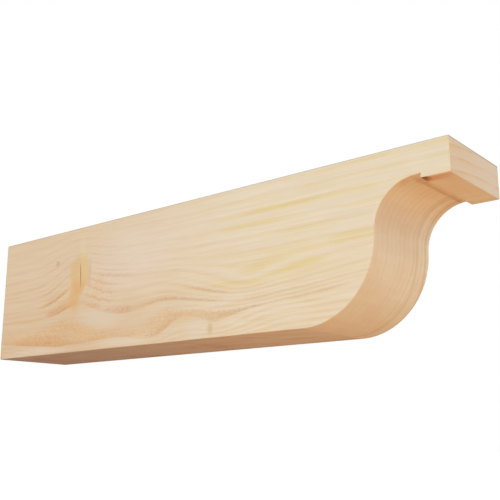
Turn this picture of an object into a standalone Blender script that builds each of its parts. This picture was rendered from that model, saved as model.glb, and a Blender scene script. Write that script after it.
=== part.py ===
"""Rafter tail: one length of softwood timber with an ogee sawn into the underside of its outer end.

Metres, +Z up. The origin is the centre of the square-cut back end, which meets the building.
+X runs along the timber to the nose, and the underside is flat from the back end to the carving.
"""

import math

import bmesh
import bpy
from mathutils import Vector

# The timber
LENGTH = 0.610
WIDTH = 0.100
HEIGHT = 0.145

# The square nose that is left at the outer end
NOSE_LENGTH = 0.0264
NOSE_HEIGHT = 0.0316

# The carving, from the nose back to the round
STEP = 0.0040  # the nose hangs this far below the end of the cove
LAND = 0.0034  # level flat between the step and the cove
COVE_RADIUS = 0.0419  # the hollow curve
RISER = 0.0010  # upright flat between the cove and the round

# The sharp corners are eased by sanding
ARRIS = 0.0008
ARRIS_FACETS = 2
SHARP_CORNER = math.radians(30)

# Facets in each quarter circle
ROUND_FACETS = 48
COVE_FACETS = 32

WOOD_COLOUR = (0.74, 0.57, 0.39, 1.0)
WOOD_ROUGHNESS = 0.62

UNDERSIDE = -HEIGHT / 2
TOP = HEIGHT / 2
NOSE_UNDERSIDE = TOP - NOSE_HEIGHT
LAND_LEVEL = NOSE_UNDERSIDE + STEP
STEP_PLACE = LENGTH - NOSE_LENGTH
RISER_PLACE = STEP_PLACE - LAND - COVE_RADIUS

# The round fills the height that the cove and the riser leave, and meets the underside without a corner
ROUND_RADIUS = LAND_LEVEL - UNDERSIDE - COVE_RADIUS - RISER
ROUND_START = RISER_PLACE - ROUND_RADIUS


def quarter_circle(centre_x, centre_z, radius, start, end, facets):
    """Points on the arc from angle start to angle end, both included."""
    points = []
    for i in range(facets + 1):
        angle = start + (end - start) * i / facets
        points.append((centre_x + radius * math.cos(angle), centre_z + radius * math.sin(angle)))
    return points


def side_outline():
    """The timber from the side: (x, z) points from the foot of the back end, round the nose, to the top."""
    convex = quarter_circle(
        ROUND_START, UNDERSIDE + ROUND_RADIUS, ROUND_RADIUS, -math.pi / 2, 0, ROUND_FACETS
    )
    hollow = quarter_circle(
        RISER_PLACE + COVE_RADIUS, LAND_LEVEL - COVE_RADIUS, COVE_RADIUS, math.pi, math.pi / 2, COVE_FACETS
    )
    nose = [
        (STEP_PLACE, LAND_LEVEL),
        (STEP_PLACE, NOSE_UNDERSIDE),
        (LENGTH, NOSE_UNDERSIDE),
        (LENGTH, TOP),
    ]
    return [(0, UNDERSIDE), *convex, *hollow, *nose, (0, TOP)]


def sawn_timber():
    """The outline drawn on the near side and carried through to the far side."""
    shape = bmesh.new()
    corners = [shape.verts.new((x, -WIDTH / 2, z)) for x, z in side_outline()]
    near_side = shape.faces.new(corners)
    made = bmesh.ops.extrude_face_region(shape, geom=[near_side])
    far_corners = [item for item in made["geom"] if isinstance(item, bmesh.types.BMVert)]
    bmesh.ops.translate(shape, verts=far_corners, vec=Vector((0, WIDTH, 0)))
    bmesh.ops.recalc_face_normals(shape, faces=shape.faces)
    return shape


def ease_corners(shape):
    """Takes the arris off every sharp outside corner. The inner corner at the step stays as sawn."""
    sharp = [edge for edge in shape.edges if edge.is_convex and edge.calc_face_angle() > SHARP_CORNER]
    bmesh.ops.bevel(shape, geom=sharp, offset=ARRIS, segments=ARRIS_FACETS, profile=0.5, affect="EDGES")


def pine():
    material = bpy.data.materials.new("planed pine")
    material.use_nodes = True
    shader = material.node_tree.nodes["Principled BSDF"]
    shader.inputs["Base Color"].default_value = WOOD_COLOUR
    shader.inputs["Roughness"].default_value = WOOD_ROUGHNESS
    shader.inputs["Metallic"].default_value = 0.0
    return material


def rafter_tail():
    shape = sawn_timber()
    ease_corners(shape)
    mesh = bpy.data.meshes.new("rafter_tail")
    shape.to_mesh(mesh)
    shape.free()
    mesh.shade_smooth()
    mesh.set_sharp_from_angle(angle=SHARP_CORNER)
    mesh.materials.append(pine())
    timber = bpy.data.objects.new("rafter_tail", mesh)
    bpy.context.scene.collection.objects.link(timber)
    return timber


for old in list(bpy.data.objects):
    bpy.data.objects.remove(old)

rafter_tail()
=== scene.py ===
import math

import bmesh
import bpy
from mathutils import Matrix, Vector


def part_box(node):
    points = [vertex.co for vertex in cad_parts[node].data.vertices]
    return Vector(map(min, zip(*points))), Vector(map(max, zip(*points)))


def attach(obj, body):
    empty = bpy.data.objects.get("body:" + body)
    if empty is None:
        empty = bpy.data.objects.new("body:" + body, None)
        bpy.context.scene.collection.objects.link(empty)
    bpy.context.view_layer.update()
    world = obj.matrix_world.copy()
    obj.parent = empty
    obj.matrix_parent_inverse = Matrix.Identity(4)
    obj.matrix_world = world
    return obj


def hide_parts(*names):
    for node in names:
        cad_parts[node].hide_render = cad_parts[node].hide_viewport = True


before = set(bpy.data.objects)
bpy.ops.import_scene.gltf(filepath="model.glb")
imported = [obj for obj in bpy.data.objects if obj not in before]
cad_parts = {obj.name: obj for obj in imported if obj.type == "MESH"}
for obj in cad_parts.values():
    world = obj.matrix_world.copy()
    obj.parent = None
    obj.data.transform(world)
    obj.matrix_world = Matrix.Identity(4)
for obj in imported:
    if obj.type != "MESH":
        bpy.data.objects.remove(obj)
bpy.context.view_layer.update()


# The studio: a white room with a pale floor far below, because the camera looks up from under the timber.
# Soft light comes from all round. What comes back from below is dim and warm, most of it under the nose.
floor_drop = 0.83
floor_width = 60.0
camera_place = (0.861, -0.607, -0.1627)
camera_climb = 13.28
camera_turn = 39.41
frame_pixels = 500
focal_pixels = 779.6
sensor_width = 36
floor_colour = (0.93, 0.93, 0.93, 1)
floor_roughness = 0.9
light_above = (1.10, 1.10, 1.10)
light_level = (1.24, 1.30, 1.31)
light_below = (0.260, 0.131, 0.101)
# How far up the sky, from -1 to 1, one light fades into the next
below_to_level = (-0.45, 0.05)
level_to_above = (0.25, 0.95)
# Place, aim, size, watts, colour
soft_boxes = (
    ((0.75, -0.10, -0.62), (0.60, 0.0, 0.0), 0.5, 2.1, (1.0, 0.80, 0.46)),
    ((0.70, -2.00, 0.30), (0.40, 0.0, 0.0), 1.5, 6.0, (1.0, 1.0, 1.0)),
)

low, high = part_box("rafter_tail")

bpy.ops.object.select_all(action="DESELECT")
bpy.ops.mesh.primitive_plane_add(size=floor_width, location=(0, 0, low.z - floor_drop))
floor = bpy.context.object
floor.name = "studio_floor"
floor.visible_diffuse = False
floor.visible_glossy = False
floor.visible_shadow = False
floor_paint = bpy.data.materials.new("pale floor")
floor_paint.use_nodes = True
floor_shader = floor_paint.node_tree.nodes["Principled BSDF"]
floor_shader.inputs["Base Color"].default_value = floor_colour
floor_shader.inputs["Roughness"].default_value = floor_roughness
floor.data.materials.append(floor_paint)

bpy.ops.object.camera_add(
    location=camera_place, rotation=(math.radians(90 + camera_climb), 0, math.radians(camera_turn))
)
camera = bpy.context.object
camera.data.sensor_width = sensor_width
camera.data.lens = sensor_width * focal_pixels / frame_pixels
camera.data.dof.use_dof = False
bpy.context.scene.camera = camera


def add(tree, kind, inputs=(), **settings):
    """Adds a shader node. Each of its inputs is given a plain value or another node's output."""
    node = tree.nodes.new("ShaderNode" + kind)
    for name, value in settings.items():
        setattr(node, name, value)
    for name, value in dict(inputs).items():
        if isinstance(value, bpy.types.NodeSocket):
            tree.links.new(value, node.inputs[name])
        else:
            node.inputs[name].default_value = value
    return node


def ramp(tree, value, start, end, low_value=0.0, high_value=1.0):
    """A smooth climb from low_value at start to high_value at end."""
    sizes = {"Value": value, "From Min": start, "From Max": end, "To Min": low_value, "To Max": high_value}
    return add(tree, "MapRange", sizes, interpolation_type="SMOOTHSTEP").outputs[0]


def blend_colour(tree, share, first, second, way="MIX"):
    """The second colour laid over the first, or multiplied into it, as far as the share says."""
    mix = add(tree, "Mix", {"Factor": share}, data_type="RGBA", blend_type=way)
    for socket, colour in zip(mix.inputs[6:8], (first, second)):
        if isinstance(colour, bpy.types.NodeSocket):
            tree.links.new(colour, socket)
        else:
            socket.default_value = (*colour, 1)
    return mix.outputs[2]


room = bpy.data.worlds.new("studio")
room.use_nodes = True
bpy.context.scene.world = room
sky = room.node_tree
sky.nodes.clear()
rise = add(sky, "SeparateXYZ", {0: add(sky, "TexCoord").outputs["Generated"]}).outputs["Z"]
glow = blend_colour(sky, ramp(sky, rise, *below_to_level), light_below, light_level)
glow = blend_colour(sky, ramp(sky, rise, *level_to_above), glow, light_above)
lamp = add(sky, "Background", {"Color": glow}).outputs[0]
backdrop = add(sky, "Background", {"Color": (1, 1, 1, 1)}).outputs[0]
seen = add(sky, "LightPath").outputs["Is Camera Ray"]
choose = add(sky, "MixShader", {0: seen, 1: lamp, 2: backdrop}).outputs[0]
add(sky, "OutputWorld", {"Surface": choose})

for place, aim, size, watts, colour in soft_boxes:
    bpy.ops.object.light_add(type="AREA", location=place)
    soft_box = bpy.context.object
    soft_box.rotation_euler = (Vector(aim) - Vector(place)).to_track_quat("-Z", "Y").to_euler()
    soft_box.data.size = size
    soft_box.data.energy = watts
    soft_box.data.color = colour
    soft_box.visible_camera = False

bpy.context.scene.view_settings.view_transform = "Standard"
bpy.context.scene.view_settings.look = "None"


# The timber: one length of planed pine, with the ogee sawn into its underside and left from the saw.
# Its outline is a chain of corners along the underside, bridged to the top and carried across the width.
# The grain, the knot and the marks of the saw are shaders that read a point's place in the wood.
nose_length = 0.0264
nose_height = 0.0316
step = 0.0040
land = 0.0034
cove_radius = 0.0419
riser = 0.0010
arris = 0.0008
arris_facets = 3
sharp_corner = math.radians(35)
corner_spacing = 0.005
rows_up = 30
rows_across = 20

nose_underside = high.z - nose_height
land_level = nose_underside + step
step_place = high.x - nose_length
riser_place = step_place - land - cove_radius
round_radius = land_level - low.z - cove_radius - riser
round_start = riser_place - round_radius


def lone_corner(x, z):
    """One point on the near side, made from a plane that is closed up to its middle."""
    bpy.ops.mesh.select_all(action="DESELECT")
    bpy.ops.mesh.primitive_plane_add(size=corner_spacing, location=(x, low.y, z))
    bpy.ops.mesh.merge(type="CENTER")


def draw_straight(run, rise, parts=None):
    """Draws on from the last corner, in that many equal parts or in parts about as long as the spacing."""
    parts = parts or max(1, round(math.hypot(run, rise) / corner_spacing))
    for _ in range(parts):
        bpy.ops.mesh.extrude_region_move(TRANSFORM_OT_translate={"value": (run / parts, 0, rise / parts)})


def draw_quarter(centre_x, centre_z, radius, turn):
    """Draws a quarter circle on from the last corner. The turn is 1 or -1 for its two ways round."""
    parts = round(math.pi / 2 * radius / corner_spacing)
    bpy.ops.mesh.spin(steps=parts, angle=math.pi / 2, center=(centre_x, low.y, centre_z), axis=(0, turn, 0))


def pick(kind, test):
    """Selects the corners, edges or faces of the mesh in hand whose middle or shape passes the test."""
    bpy.ops.mesh.select_all(action="DESELECT")
    bpy.ops.mesh.select_mode(type=kind)
    mesh = bmesh.from_edit_mesh(bpy.context.object.data)
    items = {"VERT": mesh.verts, "EDGE": mesh.edges, "FACE": mesh.faces}[kind]
    for item in items:
        if test(item):
            item.select_set(True)
    mesh.select_flush_mode()
    bmesh.update_edit_mesh(bpy.context.object.data)


bpy.ops.object.select_all(action="DESELECT")
bpy.ops.mesh.primitive_plane_add(size=corner_spacing)
timber = bpy.context.object
timber.name = "rafter_tail_timber"
bpy.ops.object.mode_set(mode="EDIT")
bpy.ops.mesh.select_all(action="SELECT")
bpy.ops.mesh.delete(type="VERT")

lone_corner(low.x, low.z)
draw_straight(round_start - low.x, 0)
draw_quarter(round_start, low.z + round_radius, round_radius, 1)
draw_straight(0, riser)
draw_quarter(riser_place + cove_radius, land_level - cove_radius, cove_radius, -1)
draw_straight(land, 0)
draw_straight(0, -step)
draw_straight(nose_length, 0)
parts_along = len(bmesh.from_edit_mesh(timber.data).edges)
lone_corner(low.x, high.z)
draw_straight(high.x - low.x, 0, parts_along)
bpy.ops.mesh.select_all(action="SELECT")
bpy.ops.mesh.bridge_edge_loops(type="SINGLE", number_cuts=rows_up - 1, interpolation="LINEAR")

# Carried across the width, and cut into rows that way too
bpy.ops.mesh.select_all(action="SELECT")
bpy.ops.mesh.extrude_region_move(TRANSFORM_OT_translate={"value": (0, high.y - low.y, 0)})
bpy.ops.mesh.select_all(action="SELECT")
bpy.ops.mesh.normals_make_consistent(inside=False)
pick("EDGE", lambda edge: abs(edge.verts[0].co.y - edge.verts[1].co.y) > (high.y - low.y) / 2)
bpy.ops.mesh.subdivide(number_cuts=rows_across - 1)

# Every sharp outside corner is eased by sanding
pick("EDGE", lambda edge: edge.is_convex and edge.calc_face_angle() > sharp_corner)
bpy.ops.mesh.bevel(offset=arris, segments=arris_facets, profile=0.5, affect="EDGES", clamp_overlap=False)
bpy.ops.object.mode_set(mode="OBJECT")

# A crack across the knot: a thin lens, cut to a point inside the wood
crack_place = Vector((0.1505, low.y, low.z + 0.0876))
crack_length = 0.0370
crack_width = 0.0008
crack_depth = 0.0050
crack_proud = 0.0010
crack_lean = math.radians(-5)
crack_sides = 24
bpy.ops.object.select_all(action="DESELECT")
bpy.ops.mesh.primitive_cone_add(
    vertices=crack_sides,
    radius1=0.5,
    radius2=0,
    depth=1,
    location=crack_place + Vector((0, (crack_depth - crack_proud) / 2, 0)),
    rotation=(-math.pi / 2, 0, 0),
)
wedge = bpy.context.object
wedge.scale = (crack_width, crack_length, crack_depth + crack_proud)
bpy.ops.object.transform_apply(location=False, rotation=True, scale=True)
wedge.rotation_euler = (0, crack_lean, 0)
bpy.ops.object.select_all(action="DESELECT")
timber.select_set(True)
bpy.context.view_layer.objects.active = timber
bpy.ops.object.modifier_add(type="BOOLEAN")
cut = timber.modifiers[-1]
cut.operation = "DIFFERENCE"
cut.solver = "EXACT"
cut.object = wedge
bpy.ops.object.modifier_apply(modifier=cut.name)
bpy.data.objects.remove(wedge)

bpy.ops.object.shade_smooth_by_angle(angle=sharp_corner)
bpy.ops.object.modifier_add(type="WEIGHTED_NORMAL")
bpy.ops.object.modifier_apply(modifier="WeightedNormal")

# The finish of the timber starts with helpers and shader groups that its cuts share
def reckon(tree, operation, *values):
    """One sum on values that change over the surface."""
    return add(tree, "Math", enumerate(values), operation=operation).outputs[0]


def times(tree, *factors):
    product = factors[0]
    for factor in factors[1:]:
        product = reckon(tree, "MULTIPLY", product, factor)
    return product


def cloud(tree, place, stretch, detail=2.0, roughness=0.5):
    """Noise whose lumps are 1 / stretch metres long each way."""
    scaled = add(tree, "VectorMath", {0: place, 1: stretch}, operation="MULTIPLY").outputs[0]
    sizes = {"Vector": scaled, "Scale": 1.0, "Detail": detail, "Roughness": roughness}
    return add(tree, "TexNoise", sizes).outputs["Fac"]


def start_group(name, inputs, outputs):
    """A shader group with those sockets, and its own two ends."""
    group = bpy.data.node_groups.new(name, "ShaderNodeTree")
    for label, kind in inputs.items():
        group.interface.new_socket(label, in_out="INPUT", socket_type="NodeSocket" + kind)
    for label in outputs:
        group.interface.new_socket(label, in_out="OUTPUT", socket_type="NodeSocketFloat")
    return group, group.nodes.new("NodeGroupInput").outputs, group.nodes.new("NodeGroupOutput").inputs


# How far a point is from a centre, as a share of the reach each way: 0 there and 1 at the edge of the oval
oval, given, result = start_group(
    "distance in an oval", {"Place": "Vector", "Centre": "Vector", "Reach": "Vector"}, ["Distance"]
)
apart = add(oval, "VectorMath", {0: given["Place"], 1: given["Centre"]}, operation="SUBTRACT").outputs[0]
share = add(oval, "VectorMath", {0: apart, 1: given["Reach"]}, operation="DIVIDE").outputs[0]
distance = add(oval, "VectorMath", {0: share}, operation="LENGTH").outputs["Value"]
oval.links.new(distance, result["Distance"])


def distance_in(tree, place, centre, reach):
    """How far the place is from the centre, as a share of the oval's reach."""
    inputs = {"Place": place, "Centre": centre, "Reach": reach}
    return add(tree, "Group", inputs, node_tree=oval).outputs[0]


def swell(tree, place, centre, reach, lift):
    """Height that is gained at the centre and dies away all round it."""
    distance = distance_in(tree, place, centre, reach)
    fade = reckon(tree, "EXPONENT", times(tree, reckon(tree, "POWER", distance, 2.0), -1.0))
    return times(tree, fade, lift)


# Growth rings lie round the pith. Each is pale where it starts and darkens to the next ring's sharp edge.
rings, given, result = start_group(
    "growth rings",
    {"Place": "Vector", "Lift": "Float", "Pith": "Vector", "Ring Width": "Float", "Wander": "Float"},
    ["Late", "Wide", "Turns", "Chance"],
)
axis = add(rings, "SeparateXYZ", {0: given["Place"]}).outputs
pith = add(rings, "SeparateXYZ", {0: given["Pith"]}).outputs
drift = reckon(rings, "SUBTRACT", cloud(rings, given["Place"], (12, 30, 30), 3), 0.5)
across = reckon(rings, "SUBTRACT", axis["Y"], pith["Y"])
up = reckon(rings, "SUBTRACT", reckon(rings, "SUBTRACT", axis["Z"], given["Lift"]), pith["Z"])
out = reckon(rings, "ADD", reckon(rings, "POWER", across, 2.0), reckon(rings, "POWER", up, 2.0))
out = reckon(rings, "MULTIPLY_ADD", drift, given["Wander"], reckon(rings, "SQRT", out))
turns = reckon(rings, "DIVIDE", out, given["Ring Width"])
part = reckon(rings, "FRACT", turns)
edge = ramp(rings, part, 1.0, 0.96)
rings.links.new(times(rings, ramp(rings, part, 0.55, 0.90), edge), result["Late"])
rings.links.new(times(rings, ramp(rings, part, 0.10, 0.90), edge), result["Wide"])
number = reckon(rings, "FLOOR", turns)
rings.links.new(turns, result["Turns"])
chance = add(rings, "TexWhiteNoise", {"W": number}, noise_dimensions="1D").outputs["Value"]
rings.links.new(chance, result["Chance"])

# Fibres run the length of the timber, and show as dots where it is cut across
fibres, given, result = start_group("fibres", {"Place": "Vector"}, ["Fine", "Soft", "Fleck"])
fibres.links.new(cloud(fibres, given["Place"], (16, 900, 900), 3, 0.6), result["Fine"])
fibres.links.new(cloud(fibres, given["Place"], (9, 260, 260), 3, 0.6), result["Soft"])
fleck = cloud(fibres, given["Place"], (260, 420, 420), 2, 0.7)
fibres.links.new(ramp(fibres, fleck, 0.42, 0.62), result["Fleck"])


def start_material(name, roughness, shine):
    """A material with a plain shader, its tree, and the place of each point in the timber's own frame."""
    material = bpy.data.materials.new(name)
    material.use_nodes = True
    shader = material.node_tree.nodes["Principled BSDF"]
    shader.inputs["Roughness"].default_value = roughness
    shader.inputs["Specular IOR Level"].default_value = shine
    place = add(material.node_tree, "TexCoord").outputs["Object"]
    return material, material.node_tree, shader, place


# Planed pine, on the long faces. The swells bend the rings round the knot, and part them in the wide
# band below it. What is placed on the near side fades through the thickness of the wood.
face_depth = 0.08


def on_face(along, level):
    """A place on the near side, from the back end and from the underside."""
    return (along, low.y, low.z + level)


def strongest(tree, place, spots):
    """The greatest strength of the soft-edged ovals that hold the place."""
    most = 0.0
    for along, level, reach_along, reach_up, strength in spots:
        away = distance_in(tree, place, on_face(along, level), (reach_along, face_depth, reach_up))
        most = reckon(tree, "MAXIMUM", most, ramp(tree, away, 1.25, 0.45, 0.0, strength))
    return most


grey_end = (0.748, 0.588, 0.402)
creamy_end = (0.802, 0.702, 0.548)
orange = (0.66, 0.36, 0.16)
tan = (0.72, 0.46, 0.22)
yellow = (0.77, 0.62, 0.30)
brown = (0.60, 0.42, 0.26)
pale = (0.78, 0.68, 0.55)
chalky = (0.74, 0.67, 0.57)
cool = (0.78, 0.69, 0.60)
gold = (0.71, 0.49, 0.225)
bright_gold = (0.76, 0.54, 0.235)
amber = (0.72, 0.42, 0.165)
straw = (0.78, 0.64, 0.41)
pin_brown = (0.54, 0.37, 0.19)
bud_brown = (0.61, 0.44, 0.26)
low_shade = (0.965, 0.930, 0.885)
edge_shade = (0.72, 0.75, 0.85)
warm_under_painted_light = (1.0, 0.89, 0.80)
soft_shade = (0.95, 0.91, 0.85)
fine_shade = (0.93, 0.89, 0.84)
streak_shade = (0.93, 0.82, 0.74)
far_shade = (0.90, 0.92, 0.94)
fiery_shade = (1.0, 0.86, 0.70)
planed_pith = (0, 0.060, low.z + 0.422)
planed_ring = 0.0116
knot_place = on_face(0.1478, 0.0890)
knot_reach = (0.0182, 0.060, 0.0245)
crinkle_place = on_face(0.188, 0.070)
crinkle_reach = (0.026, face_depth, 0.028)
quiet_place = on_face(0.255, 0.114)
quiet_reach = (0.080, face_depth, 0.030)

# Swells of the rings: along, up, reach along, reach up, height
grain_swells = (
    (0.145, 0.095, 0.045, 0.045, 0.024),
    (0.215, 0.090, 0.045, 0.030, 0.009),
    (0.200, 0.025, 0.065, 0.018, -0.008),
    (0.285, 0.057, 0.045, 0.040, 0.008),
    (0.415, 0.050, 0.105, 0.020, -0.014),
    (0.130, 0.000, 0.120, 0.024, -0.025),
    (0.360, 0.010, 0.055, 0.015, -0.017),
    (0.015, 0.020, 0.080, 0.015, -0.009),
    (0.545, 0.035, 0.070, 0.010, 0.008),
    (0.270, 0.000, 0.045, 0.035, -0.019),
    (0.395, 0.045, 0.035, 0.018, -0.006),
)

# Where the lines are bold, where they are thick, where they are wide and yellow, and where resin shows.
# Each is along, up, reach along, reach up, strength.
bold_spots = (
    (0.113, 0.058, 0.036, 0.023, 1.00),
    (0.080, 0.012, 0.065, 0.014, 0.90),
    (0.215, 0.041, 0.030, 0.009, 0.90),
    (0.210, 0.080, 0.036, 0.015, 0.85),
    (0.285, 0.019, 0.034, 0.020, 0.45),
    (0.320, 0.042, 0.070, 0.014, 0.75),
    (0.440, 0.033, 0.085, 0.012, 0.40),
    (0.395, 0.024, 0.035, 0.008, 0.75),
    (0.187, 0.108, 0.028, 0.016, 0.45),
    (0.172, 0.048, 0.020, 0.008, 0.60),
)
thick_spots = (
    (0.116, 0.0500, 0.030, 0.0110, 0.85),
    (0.113, 0.0660, 0.028, 0.0070, 0.35),
    (0.330, 0.0420, 0.060, 0.0100, 0.20),
)
yellow_spots = (
    (0.440, 0.116, 0.060, 0.010, 0.90),
    (0.405, 0.104, 0.050, 0.008, 0.75),
    (0.450, 0.072, 0.060, 0.008, 0.60),
    (0.440, 0.060, 0.060, 0.010, 0.90),
    (0.385, 0.048, 0.055, 0.008, 0.75),
    (0.520, 0.074, 0.040, 0.009, 0.75),
    (0.515, 0.116, 0.040, 0.009, 0.65),
)
resin_spots = (
    (0.090, 0.018, 0.090, 0.040, 1.00),
    (0.170, 0.014, 0.040, 0.030, 0.90),
    (0.220, 0.014, 0.060, 0.025, 0.60),
    (0.290, 0.020, 0.040, 0.030, 0.68),
    (0.345, 0.022, 0.040, 0.020, 0.65),
)
planed, tree, shader, place = start_material("planed pine", 0.6, 0.35)
lift = 0.0
for along, level, reach_along, reach_up, height in grain_swells:
    reach = (reach_along, face_depth, reach_up)
    lift = reckon(tree, "ADD", lift, swell(tree, place, on_face(along, level), reach, height))

# Just right of the knot the rings crinkle
crinkle_away = distance_in(tree, place, crinkle_place, crinkle_reach)
crinkle_noise = reckon(tree, "SUBTRACT", cloud(tree, place, (170, 40, 210), 2), 0.5)
lift = reckon(tree, "MULTIPLY_ADD", ramp(tree, crinkle_away, 1.3, 0.3, 0.0, 0.006), crinkle_noise, lift)
ring_facts = {
    "Place": place,
    "Lift": lift,
    "Pith": planed_pith,
    "Ring Width": planed_ring,
    "Wander": 0.002,
}
ring = add(tree, "Group", ring_facts, node_tree=rings).outputs
ring_facts["Ring Width"] = planed_ring / 2
half_ring = add(tree, "Group", ring_facts, node_tree=rings).outputs
fibre = add(tree, "Group", {"Place": place}, node_tree=fibres).outputs
axis = add(tree, "SeparateXYZ", {0: place}).outputs
toward_nose = ramp(tree, axis["X"], 0.14, 0.42)
toward_top = ramp(tree, axis["Z"], low.z + 0.070, low.z + 0.110)
patch = ramp(tree, cloud(tree, place, (13, 40, 60), 2), 0.38, 0.62)
# Paler and creamier toward the nose: partly the wood's own tone and partly painted light from the front
ground = blend_colour(tree, toward_nose, grey_end, creamy_end)
low_down = times(
    tree,
    ramp(tree, axis["Z"], low.z + 0.080, low.z + 0.020),
    ramp(tree, axis["Z"], low.z + 0.0002, low.z + 0.0010),
    ramp(tree, axis["X"], 0.25, 0.42, 1.0, 0.15),
)
ground = blend_colour(tree, low_down, ground, low_shade, "MULTIPLY")

# Resin stains the outer part of the wide ring below the knot, in blotches and flecks
resin_ring = 34.0
stain = strongest(tree, place, resin_spots)
blotch = ramp(tree, cloud(tree, place, (30, 70, 110), 4, 0.65), 0.34, 0.58, 0.50, 1.0)
mottle = ramp(tree, fibre["Fleck"], 0.0, 1.0, 0.55, 1.0)
stain = times(tree, stain, times(tree, blotch, mottle))
ragged = reckon(tree, "MULTIPLY_ADD", cloud(tree, place, (120, 60, 200), 3, 0.7), 0.36, -0.18)
resin = reckon(tree, "ADD", reckon(tree, "SUBTRACT", ring["Turns"], resin_ring), ragged)
resin = reckon(tree, "SUBTRACT", resin, ramp(tree, axis["X"], 0.29, 0.33, 0.0, 0.20))
inner_edge = ramp(tree, resin, 0.40, 0.62)
outer_edge = ramp(tree, ring["Turns"], resin_ring + 1, resin_ring + 0.94)
resin = times(tree, stain, times(tree, inner_edge, outer_edge))
colour = blend_colour(tree, resin, ground, tan)
flecks = times(tree, ramp(tree, fibre["Fleck"], 0.2, 1.0, 0.0, 0.35), resin)
colour = blend_colour(tree, flecks, colour, orange)

# The lines of the grain
line_colour = blend_colour(tree, toward_top, orange, brown)
higher_up = ramp(tree, axis["Z"], low.z + 0.036, low.z + 0.052, 0.60, 1.0)
yellowish = times(tree, toward_nose, higher_up)
wide_colour = blend_colour(tree, yellowish, line_colour, yellow)
line_colour = blend_colour(tree, times(tree, toward_nose, 0.7), line_colour, brown)
right_of_knot = ramp(tree, crinkle_away, 1.4, 0.5)
bold = strongest(tree, place, bold_spots)
speckle = reckon(tree, "MULTIPLY_ADD", fibre["Fleck"], 0.55, 0.55)
bold = times(tree, bold, speckle)
quiet_away = distance_in(tree, place, quiet_place, quiet_reach)
fading = times(
    tree,
    ramp(tree, axis["X"], 0.20, 0.45, 1.0, 0.55),
    ramp(tree, axis["Z"], low.z + 0.080, low.z + 0.115, 1.0, 0.55),
    ramp(tree, quiet_away, 0.4, 1.2, 0.45, 1.0),
)
faint = times(tree, reckon(tree, "MULTIPLY_ADD", patch, 0.22, 0.08), fading)
line = times(tree, ring["Late"], reckon(tree, "MAXIMUM", bold, faint))
thick = times(tree, ramp(tree, ring["Wide"], 0.25, 0.80), strongest(tree, place, thick_spots))
line = reckon(tree, "MAXIMUM", line, times(tree, thick, speckle))
half = reckon(tree, "MULTIPLY_ADD", times(tree, half_ring["Chance"], patch), 0.18, 0.04)
half = reckon(tree, "MULTIPLY_ADD", bold, 0.25, times(tree, half, fading))
half = reckon(tree, "MULTIPLY_ADD", times(tree, right_of_knot, speckle), 0.55, half)
thin = times(tree, half_ring["Late"], half)
patchy = ramp(tree, cloud(tree, place, (14, 40, 70), 2), 0.38, 0.65, 0.15, 0.55)
patchy = times(tree, patchy, ramp(tree, axis["X"], 0.18, 0.42, 0.3, 1.0))
patchy = reckon(tree, "MAXIMUM", patchy, strongest(tree, place, yellow_spots))
wide = ramp(tree, reckon(tree, "PINGPONG", reckon(tree, "ADD", ring["Turns"], 0.02), 0.5), 0.38, 0.02)
between = ramp(tree, reckon(tree, "PINGPONG", reckon(tree, "ADD", ring["Turns"], 0.60), 0.5), 0.30, 0.06)
between = times(tree, between, ramp(tree, axis["Z"], low.z + 0.100, low.z + 0.075, 0.3, 0.9))
wide = times(tree, reckon(tree, "MAXIMUM", wide, between), patchy)
colour = blend_colour(tree, wide, colour, wide_colour)
line = reckon(tree, "MAXIMUM", line, thin)
colour = blend_colour(tree, line, colour, line_colour)
marks = reckon(tree, "MAXIMUM", line, wide)
soft = ramp(tree, fibre["Soft"], 0.40, 0.60, 0.0, 0.42)
colour = blend_colour(tree, soft, colour, soft_shade, "MULTIPLY")
fine = ramp(tree, fibre["Fine"], 0.3, 0.7, 0.0, 0.5)
colour = blend_colour(tree, fine, colour, fine_shade, "MULTIPLY")

# Patches: along, up, reach along, reach up, colour, strength
patches = (
    (0.190, 0.036, 0.045, 0.013, chalky, 0.34),
    (0.230, 0.098, 0.075, 0.045, cool, 0.32),
    (0.228, 0.006, 0.048, 0.006, pale, 0.40),
    (0.160, 0.021, 0.022, 0.009, tan, 0.45),
    (0.073, 0.004, 0.065, 0.006, pale, 0.40),
    (0.336, 0.011, 0.020, 0.011, chalky, 0.36),
    (0.152, 0.122, 0.007, 0.014, straw, 0.35),
    (0.124, 0.058, 0.020, 0.007, amber, 0.30),
    (0.141, 0.063, 0.0120, 0.0190, amber, 0.75),
    (0.1580, 0.0960, 0.0062, 0.0170, gold, 0.75),
    (0.1660, 0.0880, 0.0042, 0.0190, brown, 0.45),
    (0.185, 0.0750, 0.0100, 0.0130, tan, 0.28),
    (0.107, 0.1073, 0.0045, 0.0040, pin_brown, 0.65),
    (0.353, 0.0090, 0.0042, 0.0068, bud_brown, 0.65),
)
for along, level, reach_along, reach_up, tint, strength in patches:
    away = distance_in(tree, place, on_face(along, level), (reach_along, face_depth / 2, reach_up))
    colour = blend_colour(tree, ramp(tree, away, 1.25, 0.3, 0.0, strength), colour, tint)

# The knot is a branch that was cut across, with faint rings of its own and an amber foot
knot_away = distance_in(tree, place, knot_place, knot_reach)
ragged = reckon(tree, "MULTIPLY_ADD", cloud(tree, place, (70, 60, 50), 2), 0.50, -0.25)
knot_away = reckon(tree, "ADD", knot_away, ragged)
knot = ramp(tree, knot_away, 1.10, 0.72, 0.0, 0.85)
knot_ring = reckon(tree, "FRACT", times(tree, knot_away, 5.0))
knot_colour = blend_colour(tree, ramp(tree, axis["X"], 0.144, 0.158), gold, bright_gold)
knot_colour = blend_colour(tree, ramp(tree, knot_ring, 0.2, 1.0, 0.0, 0.22), knot_colour, brown)
knot_foot = ramp(tree, axis["Z"], low.z + 0.092, low.z + 0.070)
knot_colour = blend_colour(tree, knot_foot, knot_colour, amber)
colour = blend_colour(tree, knot, colour, knot_colour)
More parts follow.
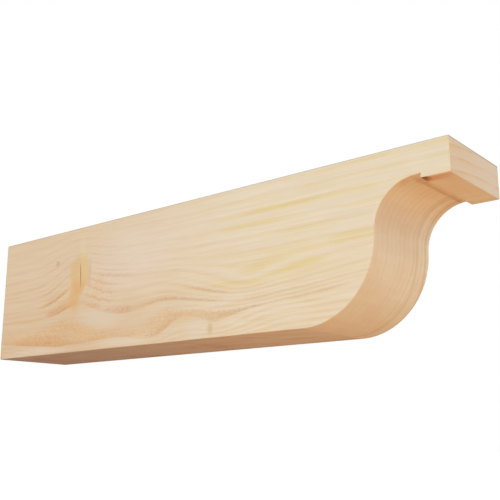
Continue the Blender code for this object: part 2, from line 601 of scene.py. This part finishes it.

# The arrises along the top and round the back end are painted greyer and bluer
edge = ramp(tree, axis["Z"], high.z - 0.0014, high.z - 0.0008)
edge = reckon(tree, "MAXIMUM", edge, ramp(tree, axis["X"], low.x + 0.0030, low.x + 0.0010, 0.0, 0.4))
edge = times(tree, edge, ramp(tree, axis["Z"], high.z - 0.0001, high.z - 0.0003))
colour = blend_colour(tree, edge, colour, edge_shade, "MULTIPLY")

# The underside is streaked, warmer toward the nose and greyer along its far edge; the even warm tint toward
# the nose is painted warm light bounced up from below
below = ramp(tree, axis["Z"], low.z + 0.0008, low.z + 0.0002)
streaks = ramp(tree, cloud(tree, place, (14, 70, 60), 3, 0.6), 0.40, 0.65, 0.0, 0.7)
by_curve = ramp(tree, axis["X"], round_start, round_start - 0.060, 0.3, 1.0)
streaks = times(tree, streaks, times(tree, below, by_curve))
colour = blend_colour(tree, streaks, colour, streak_shade, "MULTIPLY")
far_edge = times(tree, ramp(tree, axis["Y"], 0.034, 0.046), below)
colour = blend_colour(tree, far_edge, colour, far_shade, "MULTIPLY")
below = times(tree, below, ramp(tree, axis["X"], 0.10, 0.45, 0.0, 0.8))
fiery = ramp(tree, cloud(tree, place, (12, 50, 45), 3, 0.6), 0.46, 0.62, 0.0, 0.8)
fiery = times(tree, fiery, by_curve, below)
colour = blend_colour(tree, fiery, colour, fiery_shade, "MULTIPLY")
# Painted warm bounce light from below, stronger toward the nose
colour = blend_colour(tree, below, colour, warm_under_painted_light, "MULTIPLY")
tree.links.new(colour, shader.inputs["Base Color"])
ridges = reckon(tree, "MULTIPLY_ADD", marks, 0.5, fibre["Fine"])
bump = add(tree, "Bump", {"Height": ridges, "Strength": 0.3, "Distance": 0.0006})
tree.links.new(bump.outputs[0], shader.inputs["Normal"])

# The saw's faces under the nose: deeper in colour, with the lines of the grain carried round the curve. The
# deeper, warmer ground is partly the sawn wood's own and partly painted shade and warm bounce light in the
# hollow under the nose.
carved_ground = (0.790, 0.640, 0.465)
carved_painted_light_top = (0.925, 0.725, 0.50)
carved_painted_light_foot = (0.860, 0.66, 0.475)
carved_line = (0.62, 0.42, 0.24)
far_lift = (1.02, 1.05, 1.07)
burn_and_shade_red = (0.62, 0.29, 0.14)
edge_orange = (0.78, 0.37, 0.16)
char_and_shade = (0.34, 0.10, 0.03)
band_shade = (0.95, 0.91, 0.86)
blotch_shade = (0.97, 0.89, 0.80)
sawn_shade = (0.93, 0.89, 0.83)
carved_pith = (0, 0.65, low.z + 0.05)
carved_ring = 0.0080
# Two broad lines near the far side: place across, half width, strength
broad_lines = ((0.0260, 0.0034, 0.35), (0.0425, 0.0030, 0.50))
carved, tree, shader, place = start_material("sawn ogee", 0.65, 0.3)
ring_facts = {
    "Place": place,
    "Lift": 0.0,
    "Pith": carved_pith,
    "Ring Width": carved_ring,
    "Wander": 0.010,
}
ring = add(tree, "Group", ring_facts, node_tree=rings).outputs
fibre = add(tree, "Group", {"Place": place}, node_tree=fibres).outputs
axis = add(tree, "SeparateXYZ", {0: place}).outputs
far_half = times(
    tree,
    ramp(tree, axis["Y"], -0.050, 0.030, 0.16, 0.42),
    ramp(tree, axis["Z"], low.z + 0.020, low.z + 0.075, 0.60, 1.0),
    ramp(tree, axis["X"], step_place - 0.001, step_place, 1.0, 0.25),
)
strength = times(tree, far_half, reckon(tree, "MULTIPLY_ADD", ring["Chance"], 0.8, 0.2))
wide = times(tree, ring["Wide"], far_half, 0.22)
line = reckon(tree, "MAXIMUM", times(tree, ring["Late"], strength), wide)
spread = ramp(tree, axis["Z"], land_level - 0.035, low.z + 0.010, 0.0, 0.007)
spread = reckon(tree, "ADD", spread, -0.003)
spread = reckon(tree, "MULTIPLY_ADD", cloud(tree, place, (25, 20, 25), 2), 0.006, spread)
across = reckon(tree, "SUBTRACT", axis["Y"], spread)
for line_place, half_width, share in broad_lines:
    aside = reckon(tree, "ABSOLUTE", reckon(tree, "SUBTRACT", across, line_place))
    line = reckon(tree, "MAXIMUM", line, ramp(tree, aside, half_width, half_width / 4, 0.0, share))
line = times(tree, line, ramp(tree, axis["X"], step_place - 0.002, step_place, 1.0, 0.3))
# Painted light: the ground is lighter near the top of the cove and at the foot of the round, for how light
# falls on the curve
lit_top_share = ramp(tree, axis["Z"], land_level - 0.026, land_level - 0.004)
ground = blend_colour(tree, lit_top_share, carved_ground, carved_painted_light_top)
ground = blend_colour(tree, ramp(tree, axis["X"], round_start + 0.045, round_start), ground, carved_painted_light_foot)
ground = blend_colour(tree, ramp(tree, axis["Y"], -0.015, 0.035), ground, far_lift, "MULTIPLY")
colour = blend_colour(tree, line, ground, carved_line)
band = ramp(tree, cloud(tree, place, (110, 9, 110), 2), 0.35, 0.65, 0.0, 0.4)
colour = blend_colour(tree, band, colour, band_shade, "MULTIPLY")
blotch = ramp(tree, cloud(tree, place, (35, 35, 35), 3), 0.40, 0.65, 0.0, 0.5)
colour = blend_colour(tree, blotch, colour, blotch_shade, "MULTIPLY")
fine = ramp(tree, fibre["Fine"], 0.3, 0.7, 0.0, 0.5)
colour = blend_colour(tree, fine, colour, sawn_shade, "MULTIPLY")

# Along the step the wood is painted red-brown, for saw burn and for painted shade behind the step. Under
# the nose's near edge it is streaked orange, and the step's near corner is painted dark, for scorch and
# painted shade in the corner.
# Saw burn and painted shade in the recess behind the step
burn_and_painted_shade = times(
    tree,
    ramp(tree, axis["X"], step_place - 0.0115, step_place - 0.0095),
    ramp(tree, axis["X"], step_place - 0.0060, step_place - 0.0085, 0.30, 1.0),
    ramp(tree, axis["X"], step_place + 0.003, step_place + 0.001),
    ramp(tree, axis["Y"], -0.045, -0.015, 0.35, 1.0),
    ramp(tree, cloud(tree, place, (40, 45, 40), 3), 0.30, 0.65, 0.22, 0.50),
)
colour = blend_colour(tree, burn_and_painted_shade, colour, burn_and_shade_red)
# Orange streaks along the nose underside's near edge
orange_edge_place = (step_place + 0.004, low.y + 0.003, nose_underside)
orange_edge_away = distance_in(tree, place, orange_edge_place, (0.034, 0.014, 0.004))
orange_streaks = ramp(tree, cloud(tree, place, (45, 300, 60), 2), 0.38, 0.60, 0.30, 0.95)
colour = blend_colour(tree, times(tree, ramp(tree, orange_edge_away, 1.1, 0.4), orange_streaks), colour, edge_orange)
# A red-brown spot at the cove's end: saw burn and painted shade behind the step
cove_end = (step_place - 0.007, low.y + 0.019, land_level - 0.001)
red_away = distance_in(tree, place, cove_end, (0.007, 0.014, 0.005))
colour = blend_colour(tree, ramp(tree, red_away, 1.1, 0.3, 0.0, 0.35), colour, burn_and_shade_red)
# Dark at the step's near corner: scorch and painted shade in the corner
step_corner = (step_place, low.y, nose_underside)
char_and_shade_away = distance_in(tree, place, step_corner, (0.009, 0.013, 0.004))
colour = blend_colour(tree, ramp(tree, char_and_shade_away, 1.1, 0.4, 0.0, 0.95), colour, char_and_shade)
tree.links.new(colour, shader.inputs["Base Color"])
ridges = reckon(tree, "ADD", fibre["Fine"], line)
bump = add(tree, "Bump", {"Height": ridges, "Strength": 0.3, "Distance": 0.0008})
tree.links.new(bump.outputs[0], shader.inputs["Normal"])

# The two square ends, cut across the grain
end_ground = (0.73, 0.590, 0.450)
end_near = (0.73, 0.575, 0.405)
end_line = (0.73, 0.46, 0.25)
pore_shade = (0.92, 0.88, 0.83)
end_pith = (0, 0.045, low.z - 0.4157)
end_ring = 0.0108
end_grain, tree, shader, place = start_material("sawn end", 0.7, 0.25)
ring_facts = {
    "Place": place,
    "Lift": 0.0,
    "Pith": end_pith,
    "Ring Width": end_ring,
    "Wander": 0.004,
}
ring = add(tree, "Group", ring_facts, node_tree=rings).outputs
fibre = add(tree, "Group", {"Place": place}, node_tree=fibres).outputs
axis = add(tree, "SeparateXYZ", {0: place}).outputs
colour = blend_colour(tree, ramp(tree, axis["Y"], -0.03, 0.03), end_near, end_ground)
ring_facts["Ring Width"] = end_ring / 3
third_ring = add(tree, "Group", ring_facts, node_tree=rings).outputs
faded = ramp(tree, cloud(tree, place, (20, 22, 40), 2), 0.35, 0.65, 0.25, 0.80)
near = ramp(tree, axis["Y"], -0.010, -0.040, 0.25, 0.60)
line = reckon(tree, "MAXIMUM", ring["Late"], times(tree, ring["Wide"], near))
bold_line = (high.x, low.y + 0.022, high.z - 0.010)
near_top = ramp(tree, distance_in(tree, place, bold_line, (0.010, 0.034, 0.008)), 1.2, 0.4, 0.0, 0.85)
line = times(tree, line, reckon(tree, "MAXIMUM", faded, near_top))
strength = reckon(tree, "MULTIPLY_ADD", third_ring["Chance"], 0.20, 0.06)
thin = times(tree, third_ring["Late"], strength)
line = reckon(tree, "MAXIMUM", line, thin)
colour = blend_colour(tree, line, colour, end_line)
pores = ramp(tree, fibre["Fine"], 0.35, 0.65, 0.0, 0.5)
colour = blend_colour(tree, pores, colour, pore_shade, "MULTIPLY")
edge = ramp(tree, axis["Z"], high.z - 0.0022, high.z - 0.0010)
colour = blend_colour(tree, edge, colour, edge_shade, "MULTIPLY")
tree.links.new(colour, shader.inputs["Base Color"])
bump = add(tree, "Bump", {"Height": fibre["Fine"], "Strength": 0.3, "Distance": 0.0006})
tree.links.new(bump.outputs[0], shader.inputs["Normal"])

# Inside the crack: painted dark brown, painted shade deep in the slit on top of the shade the geometry
# casts
crack_dark = (0.34, 0.15, 0.045)
crack_pale = (0.55, 0.28, 0.10)
crack, tree, shader, place = start_material("open crack", 0.9, 0.1)
fibre = add(tree, "Group", {"Place": place}, node_tree=fibres).outputs
colour = blend_colour(tree, fibre["Fine"], crack_dark, crack_pale)
tree.links.new(colour, shader.inputs["Base Color"])

# Each face takes the finish of the cut that made it
square_on = 0.75
tilt = 0.1
finishes = [planed, carved, end_grain, crack]
for finish in finishes:
    timber.data.materials.append(finish)
for polygon in timber.data.polygons:
    middle = polygon.center
    normal = polygon.normal
    at_end = middle.x < low.x + arris or middle.x > high.x - arris
    under_nose = middle.x > round_start and middle.z < land_level + arris
    in_crack = low.y + arris < middle.y < low.y + 2 * crack_depth
    if at_end and abs(normal.x) > square_on:
        finish = end_grain
    elif under_nose and abs(normal.y) < square_on and (normal.z < -tilt or normal.x > tilt):
        finish = carved
    elif in_crack and (middle - crack_place).length < crack_length:
        finish = crack
    else:
        finish = planed
    polygon.material_index = finishes.index(finish)

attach(timber, "root")
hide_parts("rafter_tail")
